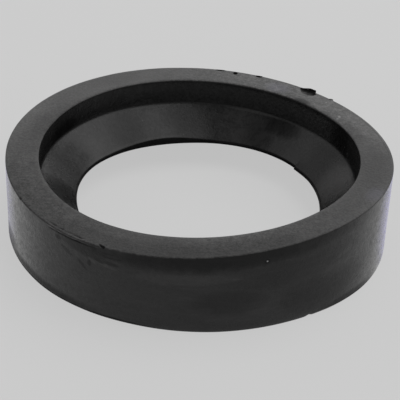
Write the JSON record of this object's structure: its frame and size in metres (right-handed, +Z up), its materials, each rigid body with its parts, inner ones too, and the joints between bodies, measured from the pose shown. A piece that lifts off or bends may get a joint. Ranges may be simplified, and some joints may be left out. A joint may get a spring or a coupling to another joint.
{
  "type": "toilet pan seal",
  "caption": "Black moulded rubber sealing ring with a flat rim, a round recess and a coned inner lip, used between a toilet pan and its cistern.",
  "frame": {"origin": "centre of the ring's axis on the flat base that the seal stands on", "axes": "+Z up along the ring's axis, from the base to the open recess; +X to the right and +Y away from the camera of the picture"},
  "size_m": [0.105, 0.105, 0.024],
  "materials": {
    "rubber": "black moulded rubber, matt on the rim and satin on the walls, with flow lines, scuffs and a torn gate scar"
  },
  "bodies": {
    "root": {"seal": "rubber"}
  },
  "joints": []
}
